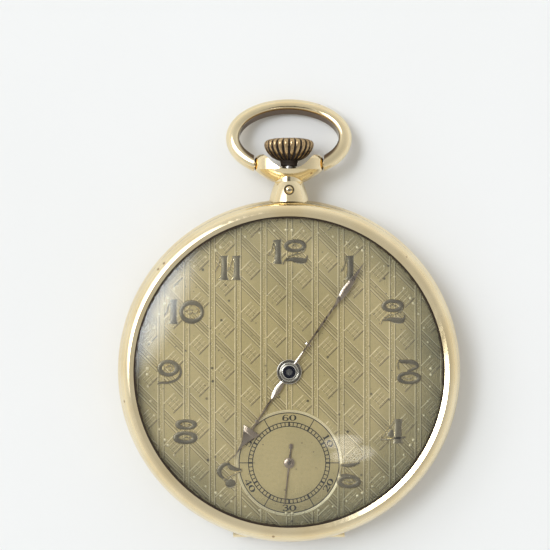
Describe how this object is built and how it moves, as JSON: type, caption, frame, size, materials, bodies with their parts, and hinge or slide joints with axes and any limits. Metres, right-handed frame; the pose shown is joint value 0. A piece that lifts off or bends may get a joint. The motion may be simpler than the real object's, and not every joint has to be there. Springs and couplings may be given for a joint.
{
  "type": "open face pocket watch",
  "caption": "Open-face stem-wound pocket watch with a hinged back, inner dust cover, swinging bow, sub-seconds dial and a lever movement inside.",
  "frame": {"origin": "on the dial's axis, in the plane of the flat back that the watch lies on", "axes": "+Z out of the dial, +Y to 12 o'clock and the pendant, +X to 3 o'clock"},
  "size_m": [0.047, 0.0611, 0.0103],
  "materials": {
    "gold_case": "polished gold-filled, lightly worn",
    "case_steel": "drawn",
    "crystal_glass": "clear, domed",
    "dial_metal": "engine-turned, aged silvered metal",
    "hand_steel": "polished, toned",
    "nickel_brass": "nickel-plated, striped",
    "wheel_brass": "gilt, grained",
    "balance_metal": "polished",
    "ruby": "polished ruby",
    "blued_steel": "heat-blued",
    "polished_steel": "polished"
  },
  "bodies": {
    "case": {"case_middle": "gold_case", "pendant": "gold_case", "pendant_screw": "gold_case", "pendant_sleeve": "case_steel", "hinge_pin": "case_steel", "dial": "dial_metal", "mainplate": "nickel_brass", "barrel_bridge": "nickel_brass", "train_bridge": "nickel_brass", "balance_cock": "nickel_brass", "pallet_bridge": "nickel_brass", "movement_screws": "blued_steel", "jewels": "ruby", "crown_wheel_screw": "blued_steel", "click_spring": "polished_steel", "hairspring_stud": "polished_steel", "setting_spring": "polished_steel"},
    "bezel_and_crystal": {"bezel": "gold_case", "crystal": "crystal_glass"},
    "back": {"back_cover": "gold_case"},
    "inner_cover": {"cuvette": "gold_case"},
    "bow_ring": {"bow": "gold_case"},
    "winding": {"winding_pinion": "polished_steel"},
    "stem": {"winding_stem": "polished_steel", "crown": "gold_case"},
    "clutch": {"sliding_clutch": "polished_steel"},
    "crown_gear": {"crown_wheel": "polished_steel"},
    "ratchet": {"ratchet_wheel": "polished_steel", "ratchet_screw": "blued_steel", "barrel_arbor": "polished_steel"},
    "pawl": {"click": "polished_steel"},
    "barrel": {"barrel_drum": "nickel_brass", "barrel_cover": "nickel_brass", "mainspring": "blued_steel"},
    "centre": {"centre_wheel": "wheel_brass", "centre_arbor": "polished_steel"},
    "third": {"third_wheel": "wheel_brass", "third_pinion": "polished_steel"},
    "fourth": {"fourth_wheel": "wheel_brass", "fourth_pinion": "polished_steel", "seconds_hand": "hand_steel"},
    "escape": {"escape_wheel": "wheel_brass", "escape_pinion": "polished_steel"},
    "lever": {"pallet_fork": "polished_steel", "pallet_arbor": "polished_steel", "pallet_stones": "ruby"},
    "balance": {"balance_wheel": "balance_metal", "balance_screws": "wheel_brass", "balance_staff": "polished_steel", "roller": "polished_steel", "hairspring": "blued_steel"},
    "index": {"regulator": "polished_steel"},
    "cannon": {"cannon_pinion": "hand_steel", "minute_hand": "hand_steel"},
    "minute_gear": {"minute_wheel": "wheel_brass"},
    "hour": {"hour_wheel": "wheel_brass", "hour_hand": "hand_steel"},
    "setting_gear": {"setting_wheel": "polished_steel"},
    "detent": {"setting_lever": "polished_steel"},
    "clutch_lever": {"yoke": "polished_steel"}
  },
  "joints": [
    {"name": "bow_swing", "type": "hinge", "parent": "case", "child": "bow_ring", "pos_m": [0, 0.0283, 0.0044], "axis": [1, 0, 0], "range_deg": [-72, 122]},
    {"name": "bezel_lift", "type": "slide", "parent": "case", "child": "bezel_and_crystal", "axis": [0, 0, 1], "range_m": [0, 0.012]},
    {"name": "back_open", "type": "hinge", "parent": "case", "child": "back", "pos_m": [0, -0.02245, 0.0029], "axis": [-1, 0, 0], "range_deg": [0, 110]},
    {"name": "cuvette_open", "type": "hinge", "parent": "case", "child": "inner_cover", "pos_m": [0, -0.02245, 0.0029], "axis": [-1, 0, 0], "range_deg": [0, 93.5]},
    {"name": "crown_turn", "type": "hinge", "parent": "case", "child": "winding", "pos_m": [0, 0.0174, 0.0044], "axis": [0, 1, 0], "continuous": true},
    {"name": "crown_pull", "type": "slide", "parent": "winding", "child": "stem", "axis": [0, 1, 0], "range_m": [0, 0.0008]},
    {"name": "clutch_slide", "type": "slide", "parent": "winding", "child": "clutch", "axis": [0, 1, 0], "range_m": [-0.001, 0]},
    {"name": "setting_lever_turn", "type": "hinge", "parent": "case", "child": "detent", "pos_m": [0.004, 0.0174, 0.0061], "axis": [0, 0, -1], "range_deg": [0, 11.83]},
    {"name": "yoke_turn", "type": "hinge", "parent": "case", "child": "clutch_lever", "pos_m": [-0.0046, 0.0146, 0.0061], "axis": [0, 0, -1], "range_deg": [0, 12.2]},
    {"name": "crown_wheel_turn", "type": "hinge", "parent": "case", "child": "crown_gear", "pos_m": [0, 0.013, 0.0014], "axis": [0, 0, 1], "continuous": true},
    {"name": "ratchet_turn", "type": "hinge", "parent": "case", "child": "ratchet", "pos_m": [0.00705, 0.00456, 0.0014], "axis": [0, 0, 1], "continuous": true},
    {"name": "click_turn", "type": "hinge", "parent": "case", "child": "pawl", "pos_m": [-0.00109, 0.00484, 0.0014], "axis": [0, 0, 1], "range_deg": [0, 8]},
    {"name": "seconds_turn", "type": "hinge", "parent": "case", "child": "fourth", "pos_m": [0, -0.01235, 0.007], "axis": [0, 0, -1], "continuous": true},
    {"name": "third_turn", "type": "hinge", "parent": "case", "child": "third", "pos_m": [-0.00353, -0.00679, 0.0033], "axis": [0, 0, -1], "continuous": true},
    {"name": "centre_turn", "type": "hinge", "parent": "case", "child": "centre", "pos_m": [0, 0, 0.003], "axis": [0, 0, -1], "continuous": true},
    {"name": "barrel_turn", "type": "hinge", "parent": "case", "child": "barrel", "pos_m": [0.00705, 0.00456, 0.004], "axis": [0, 0, -1], "continuous": true},
    {"name": "escape_turn", "type": "hinge", "parent": "case", "child": "escape", "pos_m": [0.00516, -0.01426, 0.004], "axis": [0, 0, -1], "continuous": true},
    {"name": "balance_turn", "type": "hinge", "parent": "case", "child": "balance", "pos_m": [0.0084, -0.0096, 0.0031], "axis": [0, 0, 1], "range_deg": [-220, 220]},
    {"name": "lever_turn", "type": "hinge", "parent": "case", "child": "lever", "pos_m": [0.00884, -0.01388, 0.004], "axis": [0, 0, 1], "range_deg": [-4, 4]},
    {"name": "regulator_turn", "type": "hinge", "parent": "case", "child": "index", "pos_m": [0.0084, -0.0096, 0.0014], "axis": [0, 0, 1], "range_deg": [-25, 25]},
    {"name": "minute_hand_turn", "type": "hinge", "parent": "case", "child": "cannon", "pos_m": [0, 0, 0.0078], "axis": [0, 0, -1], "continuous": true},
    {"name": "minute_wheel_turn", "type": "hinge", "parent": "case", "child": "minute_gear", "pos_m": [-0.00203, 0.00435, 0.0055], "axis": [0, 0, -1], "continuous": true},
    {"name": "hour_hand_turn", "type": "hinge", "parent": "case", "child": "hour", "pos_m": [0, 0, 0.0074], "axis": [0, 0, -1], "continuous": true},
    {"name": "setting_wheel_turn", "type": "hinge", "parent": "case", "child": "setting_gear", "pos_m": [0, 0.01063, 0.0055], "axis": [0, 0, -1], "continuous": true}
  ],
  "couplings": [
    {"joint": "cuvette_open", "follows": "back_open", "ratio": 0.85},
    {"joint": "third_turn", "follows": "seconds_turn", "ratio": -0.13333},
    {"joint": "centre_turn", "follows": "seconds_turn", "ratio": 0.016667},
    {"joint": "barrel_turn", "follows": "seconds_turn", "ratio": -0.0027778},
    {"joint": "escape_turn", "follows": "seconds_turn", "ratio": -10},
    {"joint": "lever_turn", "follows": "balance_turn", "ratio": -0.018182},
    {"joint": "crown_wheel_turn", "follows": "crown_turn", "ratio": 0.41667},
    {"joint": "ratchet_turn", "follows": "crown_turn", "ratio": -0.28846},
    {"joint": "clutch_slide", "follows": "crown_pull", "ratio": -1.25},
    {"joint": "setting_lever_turn", "follows": "crown_pull", "rad_per_m": 258},
    {"joint": "yoke_turn", "follows": "crown_pull", "rad_per_m": 266},
    {"joint": "minute_wheel_turn", "follows": "minute_hand_turn", "ratio": -0.33333},
    {"joint": "hour_hand_turn", "follows": "minute_hand_turn", "ratio": 0.083333},
    {"joint": "setting_wheel_turn", "follows": "minute_hand_turn", "ratio": 0.4}
  ]
}
